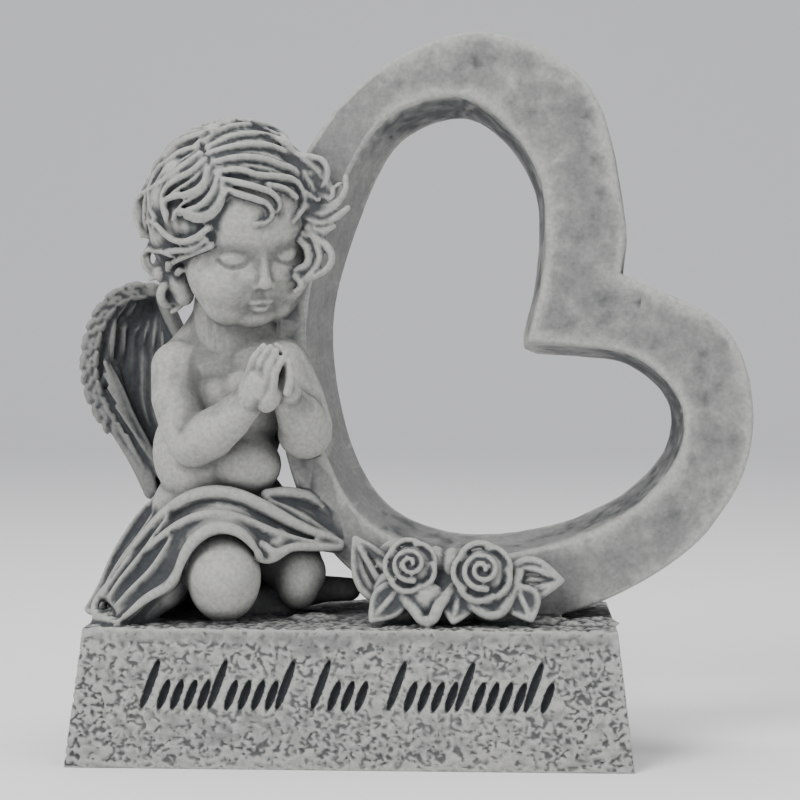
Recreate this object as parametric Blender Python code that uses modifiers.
"""Memorial statue cast in one piece: a kneeling cherub with praying hands beside an open heart,
two roses at the heart's foot, all on a battered plinth. Metres, +Z up, front towards -Y.
The origin is the centre of the plinth's underside."""

import math

import bmesh
import bpy
import numpy as np
from mathutils import Euler, Matrix, Vector

# Plinth, each size in metres
PLINTH_WIDTH = 0.1372
PLINTH_DEPTH = 0.0620
PLINTH_HEIGHT = 0.0333
PLINTH_BATTER = 0.0039
MOUND_HEIGHT = 0.0022

# Heart ring
HEART_HEIGHT = 0.1460
HEART_WIDTH = 0.1187
HEART_THICKNESS = 0.0260
HEART_DRAFT = 0.0030
HEART_EDGE = 0.0010
HEART_X = 0.0401
HEART_Y = 0.0050
HEART_YAW = math.radians(-4.5)

# Figure and roses
FIGURE_HEIGHT = 0.1230
FIGURE_X = -0.0310
FIGURE_Y = 0.0
ROSE_RADIUS = 0.0085
ROSE_Y = -0.0190

# Inscription, shown by slanted strokes
INSCRIPTION_WIDTH = 0.0990
INSCRIPTION_HEIGHT = 0.0130
INSCRIPTION_Z = 0.0185
STROKE_WIDTH = 0.0019
STROKE_DEPTH = 0.0013
STROKE_SLANT = math.radians(20)

# Surface of the casting
CELL = 0.00062
TRIANGLES = 8600

# Outlines of the heart, drawn 146 parts high and 118.7 wide about the middle of its foot
HEART_PARTS = (118.7, 146.0)
HEART_OUTER = [
    (27, 86), (27.5, 101), (19, 132), (-7, 145.8), (-34, 136.5), (-53.5, 113), (-59.3, 82),
    (-57.7, 44), (-45.5, 16.5), (-21.3, 1), (6.4, 0), (29.8, 8.3), (49.2, 23.5), (59.3, 46),
    (53, 72),
]
HEART_INNER = [
    (4, 69), (8, 88), (7.2, 108.5), (-2.4, 123.7), (-15.8, 130), (-34, 122), (-46, 97.5),
    (-51.7, 72), (-47.3, 43), (-36, 24), (-16.3, 16), (7.7, 18), (27.8, 26.5), (40.5, 40),
    (41.5, 54.5), (29, 66),
]

# The figure is drawn 123 parts high, from the middle of its seat on the plinth
FIGURE_PARTS = 123.0
HEAD = (1.8, -1.0, 101.3)
HEAD_TURN = (math.radians(15), math.radians(-5), math.radians(28))
SKULL = (18.4, 18.6, 19.4)
FIGURE_TURN = math.radians(25)

# Locks of hair: azimuth and elevation of the root, heading (0 up, 90 to the right), length,
# bend along the whole lock and extra curl over its last part
FRONT_LOCKS = [
    (-69, 61, 50, 30, 30, 20),
    (-59, 54, 52, 30, 40, 20),
    (-51, 50, 58, 37, 50, 20),
    (-41, 44, 72, 32, 50, -40),
    (-35, 39, 82, 27, 35, 110),
    (-31, 32, 102, 21, 30, 150),
    (-36, 38, 178, 17, 75, 20),
    (-45, 41, 214, 25, 30, -150),
    (-30, 28, 178, 19, 70, -90),
    (-60, 48, 226, 34, -30, -60),
    (-36, 2, 222, 23, 60, -60),
    (-42, -8, 240, 24, -10, -120),
    (58, 24, 150, 18, -50, -120),
    (42, 8, 140, 17, -60, -110),
    (40, -6, 110, 19, 90, 90),
    (46, -24, 120, 14, 90, 60),
]
BACK_LOCK_LENGTH = 27.0
BACK_LOCKS = 11
LOCK_RADIUS = 1.5


def clear_scene():
    for item in list(bpy.data.objects):
        bpy.data.objects.remove(item)


def collection(name):
    made = bpy.data.collections.new(name)
    bpy.context.scene.collection.children.link(made)
    return made


def stone(name, colour, roughness):
    material = bpy.data.materials.new(name)
    material.use_nodes = True
    surface = material.node_tree.nodes["Principled BSDF"]
    surface.inputs["Base Color"].default_value = (*colour, 1)
    surface.inputs["Roughness"].default_value = roughness
    surface.inputs["Metallic"].default_value = 0
    return material


def body(name, mesh, group, material=None):
    made = bpy.data.objects.new(name, mesh)
    group.objects.link(made)
    if material:
        mesh.materials.append(material)
    return made


def settle(item):
    """Apply the modifiers of an object to its mesh."""
    graph = bpy.context.evaluated_depsgraph_get()
    item.data = bpy.data.meshes.new_from_object(item.evaluated_get(graph))
    item.modifiers.clear()


def fill_hollows(mesh):
    """Keep the outer skin alone: pockets closed in between the shapes are not real hollows."""
    skin = bmesh.new()
    skin.from_mesh(mesh)
    left = set(skin.verts)
    shells = []
    while left:
        shell, edge = set(), [left.pop()]
        while edge:
            vert = edge.pop()
            shell.add(vert)
            near = [link.other_vert(vert) for link in vert.link_edges]
            edge += [other for other in near if other in left]
            left.difference_update(near)
        shells.append(shell)
    shells.sort(key=len)
    for shell in shells[:-1]:
        bmesh.ops.delete(skin, geom=list(shell), context="VERTS")
    skin.to_mesh(mesh)
    skin.free()


class Clay:
    """Rough closed shapes that overlap, as vertex and triangle arrays; one skin covers them later."""

    def __init__(self):
        self.shapes = []

    def add(self, mesh, matrix=None):
        mesh.calc_loop_triangles()
        verts = np.empty(len(mesh.vertices) * 3)
        tris = np.empty(len(mesh.loop_triangles) * 3, dtype=int)
        mesh.vertices.foreach_get("co", verts)
        mesh.loop_triangles.foreach_get("vertices", tris)
        self.shapes.append([verts.reshape(-1, 3), tris.reshape(-1, 3)])
        if matrix:
            self.move(len(self.shapes) - 1, matrix)

    def move(self, start, matrix):
        """Move the shapes from number start on."""
        grid = np.array(matrix)
        for shape in self.shapes[start:]:
            shape[0] = shape[0] @ grid[:3, :3].T + grid[:3, 3]
            if matrix.determinant() < 0:
                shape[1] = shape[1][:, ::-1]

    def mesh(self, name):
        offsets = np.cumsum([0] + [len(verts) for verts, tris in self.shapes])
        verts = np.concatenate([verts for verts, tris in self.shapes])
        tris = np.concatenate([tris + o for (verts, tris), o in zip(self.shapes, offsets)])
        made = bpy.data.meshes.new(name)
        made.from_pydata(verts, [], tris.tolist())
        return made


def pattern(name, build):
    """A small mesh made once and copied into the clay many times."""
    shape = bmesh.new()
    build(shape)
    mesh = bpy.data.meshes.new(name)
    shape.to_mesh(mesh)
    shape.free()
    return mesh


def unit_ball(shape):
    bmesh.ops.create_uvsphere(shape, u_segments=20, v_segments=12, radius=1)


def unit_cube(shape):
    bmesh.ops.create_cube(shape, size=1)


def unit_disc(shape):
    bmesh.ops.create_cone(shape, cap_ends=True, segments=8, radius1=0.5, radius2=0.5, depth=1)


def ball(clay, centre, radii, turn=(0, 0, 0)):
    place = Matrix.Translation(centre) @ Euler(turn, "XYZ").to_matrix().to_4x4()
    clay.add(BALL, place @ Matrix.Diagonal((*radii, 1)))


def tubes(clay, runs, straight=False, sides=2):
    """Tapered round tubes; a run is a list of (x, y, z, radius) with a ball at each end."""
    curve = bpy.data.curves.new("run", "CURVE")
    curve.dimensions = "3D"
    curve.bevel_depth = 1
    curve.bevel_resolution = sides
    curve.resolution_u = 5
    curve.use_fill_caps = True
    for run in runs:
        spline = curve.splines.new("POLY" if straight else "BEZIER")
        points = spline.points if straight else spline.bezier_points
        points.add(len(run) - 1)
        for point, (x, y, z, radius) in zip(points, run):
            point.co = (x, y, z, 1) if straight else (x, y, z)
            point.radius = radius
            if not straight:
                point.handle_left_type = point.handle_right_type = "AUTO"
        for x, y, z, radius in run if straight else (run[0], run[-1]):
            ball(clay, (x, y, z), (radius, radius, radius))
    item = bpy.data.objects.new("run", curve)
    bpy.context.scene.collection.objects.link(item)
    graph = bpy.context.evaluated_depsgraph_get()
    mesh = bpy.data.meshes.new_from_object(item.evaluated_get(graph))
    clay.add(mesh)
    bpy.data.objects.remove(item)
    bpy.data.meshes.remove(mesh)


def limb(clay, run):
    tubes(clay, [run], straight=True, sides=3)


def same_radius(points, radius):
    return [(*point, radius) for point in points]


# Heart

def smooth_loop(corners, per_side):
    """A closed curve through corners that is smooth except at the first one."""
    count = len(corners)
    points = [Vector(corner) for corner in corners]
    loop = []
    for i in range(count):
        before = points[i - 1] if i else points[0] * 2 - points[1]
        start, end = points[i], points[(i + 1) % count]
        after = points[(i + 2) % count] if i < count - 1 else end * 2 - start
        for step in range(per_side):
            t = step / per_side
            loop.append(0.5 * (
                2 * start + (end - before) * t
                + (2 * before - 5 * start + 4 * end - after) * t ** 2
                + (3 * start - before - 3 * end + after) * t ** 3))
    return loop


def even_loop(loop, count):
    """The same closed curve with count points at even steps along it."""
    closed = np.array([tuple(point) for point in loop + loop[:1]])
    along = np.concatenate([[0], np.cumsum(np.linalg.norm(np.diff(closed, axis=0), axis=1))])
    wanted = np.linspace(0, along[-1], count, endpoint=False)
    return [Vector((np.interp(s, along, closed[:, 0]), np.interp(s, along, closed[:, 1])))
            for s in wanted]


def heart_outline(corners):
    wide, high = HEART_WIDTH / HEART_PARTS[0], HEART_HEIGHT / HEART_PARTS[1]
    loop = even_loop(smooth_loop(corners, 6), 96)
    return [Vector((point.x * wide, point.y * high)) for point in loop]


def shrink(loop, distance):
    """Move each point of a closed loop to its left by distance."""
    moved = []
    for i, point in enumerate(loop):
        along = (loop[(i + 1) % len(loop)] - loop[i - 1]).normalized()
        moved.append(point + Vector((-along.y, along.x)) * distance)
    return moved


def heart_ring(clay):
    """A loft round the ring: the section is a block with rounded edges and a drafted inside."""
    outer, inner = heart_outline(HEART_OUTER), heart_outline(HEART_INNER)
    half, edge, draft = HEART_THICKNESS / 2, HEART_EDGE, HEART_DRAFT
    rings = [
        (shrink(outer, edge), -half), (outer, -half + edge), (outer, half - edge),
        (shrink(outer, edge), half), (shrink(inner, draft - edge), half),
        (shrink(inner, draft), half - edge), (inner, -half + edge),
        (shrink(inner, -edge), -half),
    ]
    count = len(outer)

    def loft(shape):
        verts = [[shape.verts.new((point.x, y, point.y)) for point in loop] for loop, y in rings]
        for ring, after in zip(verts, verts[1:] + verts[:1]):
            for i in range(count):
                j = (i + 1) % count
                shape.faces.new((ring[i], ring[j], after[j], after[i]))
        bmesh.ops.recalc_face_normals(shape, faces=shape.faces)

    place = Matrix.Translation((HEART_X, HEART_Y, PLINTH_HEIGHT))
    clay.add(pattern("heart_ring", loft), place @ Matrix.Rotation(HEART_YAW, 4, "Z"))


# Plinth

def plinth(clay):
    """A block that leans in above its foot; it runs below the ground, where it is cut off."""
    def block(shape):
        bmesh.ops.create_cube(shape, size=1)
        for vert in shape.verts:
            top = vert.co.z > 0
            lean = PLINTH_BATTER if top else 0
            vert.co.x = math.copysign(PLINTH_WIDTH / 2 - lean, vert.co.x)
            vert.co.y = math.copysign(PLINTH_DEPTH / 2 - lean, vert.co.y)
            vert.co.z = PLINTH_HEIGHT if top else -PLINTH_HEIGHT * 0.1

    clay.add(pattern("block", block))
    mound(clay)


def mound(clay):
    """Uneven ground on the plinth, higher towards the back."""
    width = PLINTH_WIDTH / 2 - PLINTH_BATTER
    depth = PLINTH_DEPTH / 2 - PLINTH_BATTER
    for row in range(4):
        for column in range(9):
            x = width * (column / 4.0 - 1) * 0.8
            y = depth * (row / 1.5 - 1) * 0.58
            swell = 0.4 + 0.25 * math.sin(2.1 * column + 1.7 * row) + 0.2 * row
            ball(clay, (x, y, PLINTH_HEIGHT - MOUND_HEIGHT),
                 (width * 0.17, depth * 0.36, MOUND_HEIGHT * (1 + swell)))


# Head

def head_matrix():
    return Matrix.Translation(HEAD) @ Euler(HEAD_TURN, "YXZ").to_matrix().to_4x4()


def on_head(azimuth, elevation):
    """Unit vector in the head's own frame, whose face looks along -Y."""
    a, e = math.radians(azimuth), math.radians(elevation)
    return Vector((math.sin(a) * math.cos(e), -math.cos(a) * math.cos(e), math.sin(e)))


def walk(azimuth, elevation, heading, length, bend, curl, steps=12):
    """A path over the unit skull that turns to its right as it goes, more so near its end."""
    spot = on_head(azimuth, elevation)
    right = Vector((0, 0, 1)).cross(spot).normalized() * -1
    up = spot.cross(right) * -1
    turn = math.radians(heading)
    forward = (up * math.cos(turn) - right * math.sin(turn)).normalized()
    stride = length / SKULL[0] / steps
    path = [(spot.copy(), forward.cross(spot))]
    for step in range(steps):
        spot, forward = (spot * math.cos(stride) + forward * math.sin(stride),
                         forward * math.cos(stride) - spot * math.sin(stride))
        share = bend / steps + (curl * 3 / steps if step >= steps * 2 / 3 else 0)
        forward = Matrix.Rotation(-math.radians(share), 3, spot) @ forward
        path.append((spot.copy(), forward.cross(spot)))
    return path


def lock(azimuth, elevation, heading, length, bend, curl):
    """Two ridges side by side that run along one path and end in a point."""
    runs = []
    for side in (-1, 1):
        run = []
        path = walk(azimuth, elevation, heading, length, bend, curl)
        for i, (spot, across) in enumerate(path):
            t = i / (len(path) - 1)
            radius = LOCK_RADIUS * (0.75 + 0.5 * math.sin(math.pi * min(1, t * 1.15)))
            spread = across * side * LOCK_RADIUS * 0.9 * math.sin(math.pi * (0.12 + 0.8 * t))
            lift = 1.3 + 0.9 * math.sin(math.pi * t)
            place = Vector(s * r for s, r in zip(spot, SKULL)) + spot * lift + spread
            run.append((*place, radius * (1 - 0.55 * t ** 3)))
        runs.append(run)
    return runs


def head(clay):
    """Skull, a calm closed-eyed child's face on even proportions, and locks from a side parting."""
    start = len(clay.shapes)
    ball(clay, (0, 0, 0), SKULL)
    ball(clay, (0, -6.2, -12.6), (15.2, 12.4, 14.8))
    for side in (-1, 1):
        ball(clay, (side * 6.6, -11, -15.5), (7.2, 6.4, 7.4))
        ball(clay, (side * 6.4, -17.3, -7.6), (3.3, 1.7, 2))
        ball(clay, (side * 7, -17.4, -2.6), (4.4, 2, 1.6))
        ball(clay, (side * 16, 2, -8), (2.5, 4, 5))
    ball(clay, (0, -12.6, -23.6), (5.4, 4.4, 4))
    ball(clay, (0, -19, -13), (2.1, 2.2, 1.7))
    limb(clay, [(0, -17.2, -5, 1.3), (0, -18.8, -12, 1.6)])
    ball(clay, (0, -17.9, -19), (3.3, 1.7, 0.9))
    ball(clay, (0, -17.6, -20.8), (2.6, 1.7, 1))
    runs = []
    for one in FRONT_LOCKS:
        runs += lock(*one)
    for i in range(BACK_LOCKS):
        azimuth = 75 + i * 190 / (BACK_LOCKS - 1)
        runs += lock(azimuth, 52, 195, BACK_LOCK_LENGTH, -40, 60)
        runs += lock(azimuth + 9, 8, 190, BACK_LOCK_LENGTH * 0.5, 60, -120)
    tubes(clay, runs)
    ring = [(-17.6, -6.5 + 3 * math.cos(a), -18 + 3.4 * math.sin(a), 1.5)
            for a in (i * math.pi / 4 for i in range(9))]
    tubes(clay, [ring])
    clay.move(start, head_matrix())


# Body

def trunk(clay):
    ball(clay, (-4.6, 7, 25), (18, 14, 15))
    ball(clay, (-4.6, 3, 40), (16.6, 13, 16))
    ball(clay, (-1.8, 3, 53.5), (14.8, 10.5, 14))
    limb(clay, [(-12.6, -1, 61.5, 6.4), (0, 4, 62.5, 8), (12, 7, 62.5, 6.2)])
    limb(clay, [(-2.5, 4, 62, 9), (-0.5, 1, 80, 9)])


def arms(clay):
    limb(clay, [(-13.6, -3, 62, 6.4), (-10.4, -8, 52, 6.6), (-5.2, -13, 42.6, 5.9)])
    limb(clay, [(-5.2, -13, 42.6, 5.9), (2.6, -18.5, 48.8, 5), (8.1, -22.6, 54, 3.7)])
    limb(clay, [(13, 7, 62.5, 6.3), (16.4, 2, 54, 6.4), (19.2, -4.6, 45.6, 6)])
    limb(clay, [(19.2, -4.6, 45.6, 6), (17.4, -12, 50.4, 4.8), (15.1, -18.6, 54.6, 3.7)])


def hands(clay):
    """Two flat hands, palm to palm, fingers up and a little apart from one another."""
    palm_turn = math.radians(28)
    across = Vector((math.cos(palm_turn), math.sin(palm_turn), 0))
    out = Vector((math.sin(palm_turn), -math.cos(palm_turn), 0))
    middle = Vector((11.9, -21.6, 58.4))
    for side in (-1, 1):
        heel = middle + across * side * 2.5 + Vector((0, 0, -4))
        ball(clay, heel, (2.3, 4.2, 4.8), turn=(0, 0, palm_turn))
        for finger in range(4):
            foot = middle + across * side * 1.9 + out * (finger * 2.0 - 3.1)
            reach = (9.2, 10.2, 9.6, 7.4)[finger]
            tip = foot + Vector((0, 0, reach)) - across * side * 0.9 + out * (finger - 1.5) * 0.2
            limb(clay, [(*foot, 1.35), (*foot.lerp(tip, 0.55), 1.25), (*tip, 0.95)])
        thumb = middle + across * side * 1.8 - out * 4.2
        limb(clay, [(*thumb, 1.5), (*(thumb + Vector((0, 0, 5.5))), 1.1)])


def legs(clay):
    limb(clay, [(-10, 3, 22, 11), (-3.5, -10, 15.5, 10.4), (-0.7, -16.4, 12, 9.2)])
    ball(clay, (-0.5, -17, 11.1), (9, 8, 11))
    limb(clay, [(6, 7, 22, 10), (13, 2, 14.5, 8.6), (16.6, -3, 10.8, 7)])
    ball(clay, (16.6, -4.5, 9.6), (5.9, 6.6, 8))
    limb(clay, [(-8, 8, 7, 8), (-4, 17, 6.5, 6)])
    limb(clay, [(16, 6, 5.2, 4.6), (23, 7, 5.4, 3.2), (28.6, 8, 5.2, 2.9)])


def cloth(clay):
    """Cloth over the lap: a sloping fall to the left, rolls across the hips and a knee hem."""
    limb(clay, [(-14, 4, 18, 11), (-19, 0, 10, 9.5), (-25, -6, 4, 8), (-30, -9, 1.5, 6)])
    limb(clay, [(-12, -8, 16, 8), (-17, -14, 9, 6.5), (-24, -17, 2, 5)])
    limb(clay, [(-14, 8, 22, 9), (-20, 10, 10, 9), (-24, 10, 2, 9)])
    folds = [
        same_radius([(-22, 6, 27.4), (-27.5, 5, 21), (-31.6, 2, 14.8), (-35, -3, 6.3),
                     (-37, -6, 1)], 2.1),
        same_radius([(-20.4, -2, 21.8), (-24, -4, 18), (-29, -7, 13), (-32.4, -9, 8),
                     (-33.8, -12, 3), (-30.4, -17, 1.4), (-24, -21, 1.6)], 1.7),
        same_radius([(-14, -9, 23), (-19, -11, 18.9), (-24, -13, 12.6), (-30, -12.5, 8.5)], 1.6),
        same_radius([(-9.1, -15, 22.4), (-14.4, -17, 17.9), (-18.9, -19, 11.9),
                     (-24, -18, 8.3), (-31, -13, 6.4)], 1.6),
        same_radius([(-8.4, -21, 19.5), (-9.8, -23.4, 13.2), (-11.3, -23.6, 10.1),
                     (-14.4, -23.6, 8.4), (-18.4, -23, 7.4), (-20.6, -23, 4.3),
                     (-22.6, -23, 1.4)], 1.9),
        same_radius([(-18.6, -2, 24.5), (-14.1, -7, 29.6), (-9, -10.5, 32), (-2.6, -12.5, 33.2),
                     (3.7, -13, 31.6), (9.7, -12, 27.8), (15.5, -10, 24), (22.6, -7, 20.4),
                     (27.5, -5, 18.2)], 2.9),
        same_radius([(-15.5, -10, 24.2), (-8.6, -14.5, 27), (-2, -17, 28.6), (4.2, -17.5, 26.6),
                     (10, -15.5, 22.8), (18, -10.5, 19.2), (27.5, -6, 17.6)], 2.0),
        same_radius([(-9.4, -22.6, 13.2), (-8.4, -22, 18.4), (-5.4, -22.6, 22.4),
                     (0.2, -23.2, 24), (4.9, -22.8, 22.6), (7.8, -21, 19.4),
                     (8.6, -19.4, 16.4)], 2.0),
        same_radius([(9.5, -17.6, 19.1), (11, -17.6, 16.4), (14.8, -15, 17.8),
                     (20.5, -11, 18.2), (27, -6.4, 17.4)], 1.9),
        same_radius([(9.8, -8, 29.7), (13.8, -6, 30.3), (18.5, -3, 29.6), (23.3, -1, 27.5),
                     (25.8, -1, 23.8), (27.3, -4, 19.5)], 2.0),
        same_radius([(12.9, -9, 27), (17.7, -7, 25.4), (22, -5, 22.7), (26.1, -4.6, 19.1)], 1.7),
        same_radius([(-21, 10, 27), (-8, 20, 30), (6, 21, 29), (18, 12, 27)], 2.6),
    ]
    limb(clay, [(10, -2, 24, 6), (19, -1, 22, 5), (24, -3, 20, 3)])
    tubes(clay, folds)


def wing(clay, mirrored):
    """A shell with its hollow side to the front: a thick rim, and feathers in overlapping rows."""
    rim = [(-23.5, 14, 83.2), (-31, 13, 82), (-36.3, 12, 78), (-39.2, 11, 70.5),
           (-39.6, 10.4, 60.5), (-35.4, 10.4, 49.5), (-28.6, 12, 38), (-24.4, 14, 30.5)]
    root = [(-20.6, 14.6, 83), (-18.6, 15, 77), (-15.4, 15, 69), (-12, 14, 61),
            (-11, 13.4, 53), (-12.6, 13, 45.5), (-16, 13, 38), (-19.5, 13.6, 32)]
    start = len(clay.shapes)
    rows = []
    for (ax, ay, az), (bx, by, bz) in zip(rim, root):
        row = []
        for k in range(10):
            t = k / 9
            hollow = 4.6 * math.sin(math.pi * t)
            row.append(Vector((ax + (bx - ax) * t, ay + (by - ay) * t + hollow,
                               az + (bz - az) * t)))
        rows.append(row)
    tubes(clay, [[(*row[k], 2.2) for row in rows] for k in range(10)])
    tubes(clay, [[(*(row[0] + Vector((0.4, -1, 0))), 2.0) for row in rows]])
    tubes(clay, [[(*(row[-1] + Vector((0, -1, 0))), 2.2) for row in rows[:4]]])
    feathers(clay, rows)
    if mirrored:
        plane = Matrix.Rotation(FIGURE_TURN, 4, "Z") @ Matrix.Translation((-4, 0, 0))
        flip = plane @ Matrix.Diagonal((-1, 1, 1, 1)) @ plane.inverted()
        tuck = Matrix.Translation((7, -4, 0)) @ Matrix.Diagonal((0.62, 0.5, 1, 1))
        clay.move(start, tuck @ flip)


def feathers(clay, rows):
    """Short scales down the rim, then three tiers of long feathers towards the tip."""
    for i in range(len(rows) - 1):
        for k in range(2):
            spot = rows[i][k].lerp(rows[i + 1][k], 0.5)
            down = (rows[i + 1][k] - rows[i][k]).normalized()
            tilt = math.atan2(down.x, -down.z) - 0.5
            ball(clay, spot + Vector((0.8, -1.9, 0)), (1.5, 1.4, 3.3), turn=(0, -tilt, 0))
    for tier in range(3):
        line = rows[3 + tier]
        after = rows[min(len(rows) - 1, 5 + tier)]
        for k in range(1, 10, 2):
            start, end = line[k], after[k]
            lean = math.atan2(end.x - start.x, start.z - end.z)
            spot = start.lerp(end, 0.5) + Vector((0, -1.2 + 0.3 * tier, 0))
            ball(clay, spot, (1.6, 1.7, 7.4), turn=(0.08, -lean, 0))
            ball(clay, spot + Vector((0, 3.4, 0)), (1.8, 1.6, 7.4), turn=(-0.08, -lean, 0))


def figure(clay):
    start = len(clay.shapes)
    head(clay)
    trunk(clay)
    arms(clay)
    hands(clay)
    legs(clay)
    cloth(clay)
    wing(clay, mirrored=False)
    wing(clay, mirrored=True)
    part = FIGURE_HEIGHT / FIGURE_PARTS
    place = Matrix.Translation((FIGURE_X, FIGURE_Y, PLINTH_HEIGHT)) @ Matrix.Scale(part, 4)
    clay.move(start, place)


# Roses

def rose(clay, centre, radius):
    """A dome with a spiral rim wound into it and five petals round it."""
    start = len(clay.shapes)
    ball(clay, (0, 0, -0.25), (0.86, 0.86, 0.75))
    spiral = []
    for i in range(19):
        angle = i * math.radians(38)
        reach = 0.1 + 0.62 * i / 18
        spiral.append((reach * math.cos(angle), reach * math.sin(angle),
                       0.62 - 0.5 * reach ** 2, 0.1 + 0.03 * i / 18))
    tubes(clay, [spiral])
    for i in range(5):
        angle = math.radians(72 * i + 20)
        side = Vector((math.cos(angle), math.sin(angle), 0))
        ball(clay, side * 0.72 + Vector((0, 0, -0.1)), (0.2, 0.52, 0.5),
             turn=(0, math.radians(28), angle))
    face = Matrix.Rotation(math.radians(68), 4, "X")
    clay.move(start, Matrix.Translation(centre) @ face @ Matrix.Scale(radius, 4))


def leaf(clay, foot, tip, width, droop):
    """A pointed leaf: a thin body, a raised midrib and a rolled edge on both sides."""
    foot, tip = Vector(foot), Vector(tip)
    along = tip - foot
    front = Vector((0, -1, 0.25)).normalized()
    side = along.cross(front).normalized() * width
    runs = [[(*foot.lerp(tip, t), 1.1 - 0.5 * t) for t in (0, 0.5, 1)]]
    for sign, swing in ((1, 1), (-1, 1), (1, 0.55), (-1, 0.55)):
        runs.append([
            (*(foot.lerp(tip, t) + side * sign * swing * math.sin(math.pi * t ** 0.8)
               - front * droop * math.sin(math.pi * t)), 1.25 - 0.4 * t)
            for t in (0, 0.25, 0.5, 0.75, 1)])
    tubes(clay, runs)


def roses(clay):
    """Two roses with their leaves, drawn in parts of an 8.5 part rose."""
    start = len(clay.shapes)
    rose(clay, (15, 0, 14.8), 6.6)
    rose(clay, (32.5, -0.6, 13.2), 8.3)
    ball(clay, (24, 5, 7), (13, 6, 7))
    ball(clay, (36, 5, 5.6), (9, 6, 6))
    ball(clay, (12, 4, 7), (7, 6, 7))
    ball(clay, (24.6, 3.5, 14.4), (2.6, 3.4, 4.4))
    ball(clay, (21.4, 4.4, 15), (2.6, 3, 4.2), turn=(0, -0.3, 0))
    leaf(clay, (9.6, 2, 5.4), (0.6, 7, 20.4), 4.6, 1.5)
    leaf(clay, (8.6, 5, 13), (10, 8, 19.6), 3, 1)
    leaf(clay, (38, 3, 11.2), (51.4, 1.4, 11), 4.6, -1)
    tubes(clay, [
        same_radius([(11.7, -1, 8.6), (15.2, -3, 4.8), (19.1, -5, 1.8), (21.9, -4, 5.7),
                     (24.7, 0, 9.1)], 1.5),
        same_radius([(41, 1.6, 12.5), (39, -1.4, 7.3), (35.2, -3, 3.2), (30.3, -2.4, 5),
                     (27.1, -0.6, 7.4)], 1.5),
    ])
    ball(clay, (18.4, 0, 7.4), (3.8, 3.4, 3.6))
    part = ROSE_RADIUS / 8.5
    clay.move(start, Matrix.Translation((0, ROSE_Y, PLINTH_HEIGHT)) @ Matrix.Scale(part, 4))


# Inscription

def strokes(clay):
    """Three groups of slanted strokes, long and short in turn, set into the front face."""
    groups = (11, 4, 12)
    gap = 1.6
    pitch = INSCRIPTION_WIDTH / (sum(groups) + gap * 2)
    lean = math.atan2(PLINTH_BATTER, PLINTH_HEIGHT)
    face_y = -PLINTH_DEPTH / 2 + PLINTH_BATTER * INSCRIPTION_Z / PLINTH_HEIGHT
    place = 0.5
    for group, count in enumerate(groups):
        for i in range(count):
            tall = i % 5 == 0
            high = INSCRIPTION_HEIGHT * (1 if tall else 0.6)
            rise = (high - INSCRIPTION_HEIGHT * 0.75) / 2
            stretch = Matrix.Diagonal((STROKE_WIDTH, high, STROKE_DEPTH * 2, 1))
            stand = Matrix.Rotation(math.pi / 2 - lean, 4, "X")
            slant = Matrix.Rotation(-STROKE_SLANT, 4, "Z")
            spot = Matrix.Translation(
                (place * pitch - INSCRIPTION_WIDTH / 2, face_y, INSCRIPTION_Z + rise))
            clay.add(STROKE, spot @ stand @ slant @ stretch)
            place += 1
        place += gap


def mesh_of(name, build):
    clay = Clay()
    build(clay)
    return clay.mesh(name)


def everything(clay):
    plinth(clay)
    heart_ring(clay)
    figure(clay)
    roses(clay)


def cast(parts, cutters):
    """One skin over all the clay, then a flat underside and the strokes of the inscription."""
    statue = body("angel_statue", mesh_of("angel_statue", everything), parts)
    skin = statue.modifiers.new("skin", "REMESH")
    skin.mode = "VOXEL"
    skin.voxel_size = CELL
    soften = statue.modifiers.new("soften", "SMOOTH")
    soften.factor = 0.5
    soften.iterations = 3
    settle(statue)
    fill_hollows(statue.data)
    thin = statue.modifiers.new("thin", "DECIMATE")
    thin.ratio = TRIANGLES / (2 * len(statue.data.polygons))
    thin.use_collapse_triangulate = True
    settle(statue)

    ground = body("ground_cut", pattern("ground_cut", unit_cube), cutters)
    ground.scale = (PLINTH_WIDTH * 1.5, PLINTH_DEPTH * 2, 0.02)
    ground.location = (0, 0, -0.01)
    marks = body("stroke_cuts", mesh_of("stroke_cuts", strokes), cutters)
    for cutter in (ground, marks):
        cutter.hide_render = True
        cutter.display_type = "WIRE"
        cut = statue.modifiers.new(cutter.name, "BOOLEAN")
        cut.operation = "DIFFERENCE"
        cut.solver = "EXACT"
        cut.object = cutter
    statue.data.materials.append(stone("cast_stone", (0.36, 0.36, 0.34), 0.85))
    statue.data.set_sharp_from_angle(angle=math.radians(40))
    return statue


clear_scene()
BALL = pattern("ball", unit_ball)
STROKE = pattern("stroke", unit_disc)


def main():
    parts = collection("cemetery_angel_statue")
    cutters = collection("cutters")
    cast(parts, cutters)


main()
